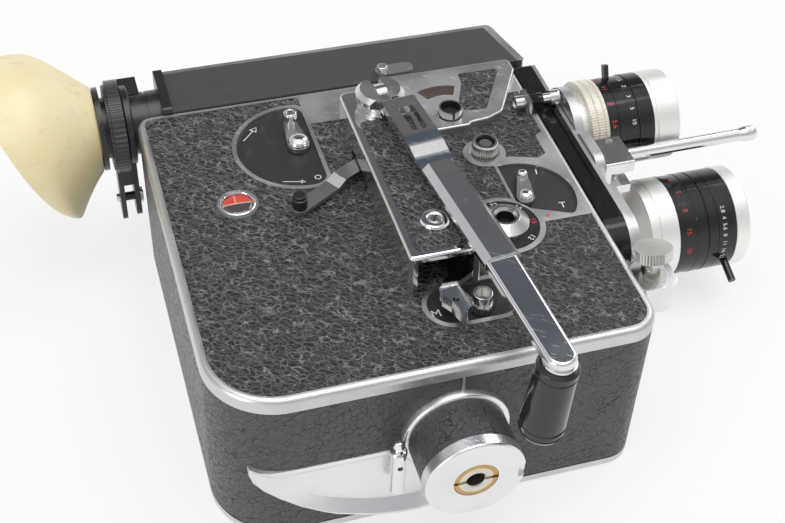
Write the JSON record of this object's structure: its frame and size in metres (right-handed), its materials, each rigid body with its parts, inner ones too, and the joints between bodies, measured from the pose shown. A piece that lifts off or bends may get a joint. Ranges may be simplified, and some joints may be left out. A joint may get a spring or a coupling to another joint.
{
  "type": "movie camera",
  "caption": "Spring-wound 16 mm movie camera lying on its film door, with folding winding crank, lens turret, side finder with flared rubber eyecup and round tripod boss.",
  "frame": {"origin": "centre of the film door's outer face, on which the camera lies", "axes": "+X towards the lenses, +Y towards the finder on the camera's top, +Z out of the control side"},
  "size_m": [0.2924, 0.2288, 0.0958],
  "materials": {
    "satin_aluminium": "satin",
    "bright_chrome": "polished",
    "black_paint": "fine crackle",
    "black_metal": "satin",
    "black_leather": "grained",
    "cream_rubber": "matt, yellowed",
    "black_plastic": "gloss",
    "ruby_window": "polished",
    "lens_glass": "coated",
    "brass": "turned",
    "steel": "machined",
    "lens_metal": "black and bright bands",
    "dial_brown": "satin"
  },
  "bodies": {
    "camera": {"body_casting": "satin_aluminium", "control_cover": "satin_aluminium", "leather_inlays": "black_leather", "wall_leather": "black_leather", "motor_dial_plate": "black_metal", "mode_dial_plate": "black_metal", "rewind_dial_plate": "black_metal", "indicator_window": "ruby_window", "fader_housing": "bright_chrome", "finder_box": "black_paint", "finder_strip": "satin_aluminium", "eyepiece_tube": "black_metal", "eyepiece_clamp": "black_metal", "front_housing": "black_paint", "front_plate": "satin_aluminium", "clamp_bracket": "bright_chrome", "release_block": "black_metal", "boss_leather": "black_leather", "boss_cap": "satin_aluminium", "tripod_bush": "brass", "base_foot": "satin_aluminium", "gate_plate": "steel"},
    "eyecup": {"eyecup": "cream_rubber"},
    "film_door": {"film_door": "satin_aluminium"},
    "door_lock": {"door_lock": "bright_chrome"},
    "pressure_plate": {"pressure_plate": "steel"},
    "upper_sprocket": {"upper_sprocket": "steel"},
    "lower_sprocket": {"lower_sprocket": "steel"},
    "supply_spindle": {"supply_spindle": "steel"},
    "takeup_spindle": {"takeup_spindle": "steel"},
    "shutter": {"shutter_disc": "black_metal"},
    "spring_barrel": {"spring_barrel": "steel"},
    "motor_lever": {"motor_lever": "bright_chrome"},
    "mode_lever": {"mode_lever": "bright_chrome"},
    "speed_dial": {"speed_dial": "black_metal"},
    "footage_counter": {"counter_dial": "dial_brown", "counter_knob": "bright_chrome"},
    "frame_knob": {"frame_knob": "bright_chrome"},
    "fader_lever": {"fader_lever": "steel"},
    "fader_claw": {"fader_claw": "bright_chrome"},
    "rewind_shaft": {"rewind_shaft": "bright_chrome"},
    "crank_hub": {"crank_hub": "bright_chrome", "crank_pin": "steel"},
    "crank_arm": {"crank_arm": "bright_chrome", "crank_bar": "bright_chrome"},
    "crank_handle": {"crank_handle": "black_plastic"},
    "finder_slide": {"finder_slide": "steel"},
    "eyepiece_ring": {"eyepiece_ring": "black_metal"},
    "turret": {"turret_disc": "black_metal", "turret_block": "satin_aluminium", "wide_lens_barrel": "lens_metal", "long_lens_barrel": "lens_metal", "lens_glass": "lens_glass"},
    "turret_lever": {"turret_lever": "bright_chrome"},
    "wide_lens_ring": {"wide_lens_ring": "lens_metal"},
    "wide_lens_iris": {"wide_lens_iris": "black_metal"},
    "long_lens_ring": {"long_lens_ring": "black_metal"},
    "long_lens_iris": {"long_lens_iris": "lens_metal"},
    "clamp_screw": {"clamp_screw": "steel"},
    "release_plunger": {"release_plunger": "bright_chrome"}
  },
  "joints": [
    {"name": "film_door_lift", "type": "slide", "parent": "camera", "child": "film_door", "axis": [0, 0, -1], "range_m": [0, 0.06]},
    {"name": "door_lock_turn", "type": "hinge", "parent": "film_door", "child": "door_lock", "pos_m": [-0.038, 0, 0], "axis": [0, 0, -1], "range_deg": [0, 90]},
    {"name": "pressure_plate_back", "type": "slide", "parent": "camera", "child": "pressure_plate", "axis": [-1, 0, 0], "range_m": [0, 0.004], "stiffness_N_per_m": 200},
    {"name": "spring_barrel_turn", "type": "hinge", "parent": "camera", "child": "spring_barrel", "pos_m": [0.0106, 0.0409, 0.05], "axis": [0, 0, 1], "continuous": true},
    {"name": "upper_sprocket_turn", "type": "hinge", "parent": "camera", "child": "upper_sprocket", "pos_m": [0.044, 0.036, 0.03], "axis": [0, 0, 1], "continuous": true},
    {"name": "lower_sprocket_turn", "type": "hinge", "parent": "camera", "child": "lower_sprocket", "pos_m": [0.044, -0.018, 0.03], "axis": [0, 0, 1], "continuous": true},
    {"name": "shutter_turn", "type": "hinge", "parent": "camera", "child": "shutter", "pos_m": [0.079, 0.03, 0.036], "axis": [1, 0, 0], "continuous": true},
    {"name": "supply_spindle_turn", "type": "hinge", "parent": "camera", "child": "supply_spindle", "pos_m": [-0.004, 0.03, 0.03], "axis": [0, 0, 1], "continuous": true},
    {"name": "takeup_spindle_turn", "type": "hinge", "parent": "camera", "child": "takeup_spindle", "pos_m": [-0.034, -0.03, 0.03], "axis": [0, 0, 1], "continuous": true},
    {"name": "motor_lever_turn", "type": "hinge", "parent": "camera", "child": "motor_lever", "pos_m": [-0.0195, 0.045, 0.07], "axis": [0, 0, 1], "range_deg": [0, 150]},
    {"name": "mode_lever_turn", "type": "hinge", "parent": "camera", "child": "mode_lever", "pos_m": [0.053, -0.0048, 0.07], "axis": [0, 0, 1], "range_deg": [-110, 0]},
    {"name": "speed_dial_turn", "type": "hinge", "parent": "camera", "child": "speed_dial", "pos_m": [0.0405, -0.0167, 0.07], "axis": [0, 0, 1], "range_deg": [-60, 200]},
    {"name": "footage_counter_turn", "type": "hinge", "parent": "camera", "child": "footage_counter", "pos_m": [0.0403, 0.0452, 0.07], "axis": [0, 0, 1], "continuous": true},
    {"name": "frame_knob_turn", "type": "hinge", "parent": "camera", "child": "frame_knob", "pos_m": [0.047, 0.0234, 0.07], "axis": [0, 0, 1], "continuous": true},
    {"name": "fader_lever_turn", "type": "hinge", "parent": "camera", "child": "fader_lever", "pos_m": [0.007, 0.028, 0.074], "axis": [0, 0, 1], "range_deg": [0, 20]},
    {"name": "fader_claw_turn", "type": "hinge", "parent": "camera", "child": "fader_claw", "pos_m": [0.011, -0.025, 0.078], "axis": [0, 0, 1], "range_deg": [-15, 0]},
    {"name": "rewind_shaft_turn", "type": "hinge", "parent": "camera", "child": "rewind_shaft", "pos_m": [0.0195, -0.0528, 0.07], "axis": [0, 0, 1], "continuous": true},
    {"name": "crank_turn", "type": "hinge", "parent": "camera", "child": "crank_hub", "pos_m": [0.0106, 0.0409, 0.09], "axis": [0, 0, 1], "range_deg": [-28, 20]},
    {"name": "crank_fold", "type": "hinge", "parent": "crank_hub", "child": "crank_arm", "pos_m": [0.0106, 0.0409, 0.0918], "axis": [-0.9943, -0.107, 0], "range_deg": [0, 180]},
    {"name": "crank_handle_turn", "type": "hinge", "parent": "crank_arm", "child": "crank_handle", "pos_m": [0.02701, -0.09854, 0.091], "axis": [0.0953, 0.0103, 0.9954], "continuous": true},
    {"name": "finder_slide_move", "type": "slide", "parent": "camera", "child": "finder_slide", "axis": [1, 0, 0], "range_m": [0, 0.007]},
    {"name": "eyepiece_ring_turn", "type": "hinge", "parent": "camera", "child": "eyepiece_ring", "pos_m": [-0.082, 0.089, 0.0585], "axis": [1, 0, 0], "range_deg": [-60, 60]},
    {"name": "eyecup_turn", "type": "hinge", "parent": "camera", "child": "eyecup", "pos_m": [-0.095, 0.089, 0.0585], "axis": [1, 0, 0], "continuous": true},
    {"name": "turret_turn", "type": "hinge", "parent": "camera", "child": "turret", "pos_m": [0.088, 0.0347, 0.0355], "axis": [1, 0, 0], "continuous": true},
    {"name": "turret_lever_fold", "type": "hinge", "parent": "turret", "child": "turret_lever", "pos_m": [0.096, 0.019, 0.062], "axis": [0, 0, -1], "range_deg": [0, 90]},
    {"name": "wide_focus_turn", "type": "hinge", "parent": "turret", "child": "wide_lens_ring", "pos_m": [0.095, 0.04143, 0.06061], "axis": [1, 0, 0], "range_deg": [-135, 135]},
    {"name": "wide_iris_turn", "type": "hinge", "parent": "turret", "child": "wide_lens_iris", "pos_m": [0.106, 0.04143, 0.06061], "axis": [1, 0, 0], "range_deg": [-60, 60]},
    {"name": "long_focus_turn", "type": "hinge", "parent": "turret", "child": "long_lens_ring", "pos_m": [0.13, 0.00959, 0.02877], "axis": [1, 0, 0], "range_deg": [-135, 135]},
    {"name": "long_iris_turn", "type": "hinge", "parent": "turret", "child": "long_lens_iris", "pos_m": [0.14, 0.00959, 0.02877], "axis": [1, 0, 0], "range_deg": [-60, 60]},
    {"name": "clamp_screw_turn", "type": "hinge", "parent": "camera", "child": "clamp_screw", "pos_m": [0.0854, -0.0435, 0.074], "axis": [0, 0.2924, 0.9563], "continuous": true},
    {"name": "release_press", "type": "slide", "parent": "camera", "child": "release_plunger", "axis": [-1, 0, 0], "range_m": [0, 0.003], "stiffness_N_per_m": 300}
  ],
  "couplings": [
    {"joint": "upper_sprocket_turn", "follows": "spring_barrel_turn", "ratio": -4.5},
    {"joint": "lower_sprocket_turn", "follows": "spring_barrel_turn", "ratio": -4.5},
    {"joint": "shutter_turn", "follows": "spring_barrel_turn", "ratio": 36},
    {"joint": "fader_claw_turn", "follows": "fader_lever_turn", "ratio": -0.75}
  ]
}
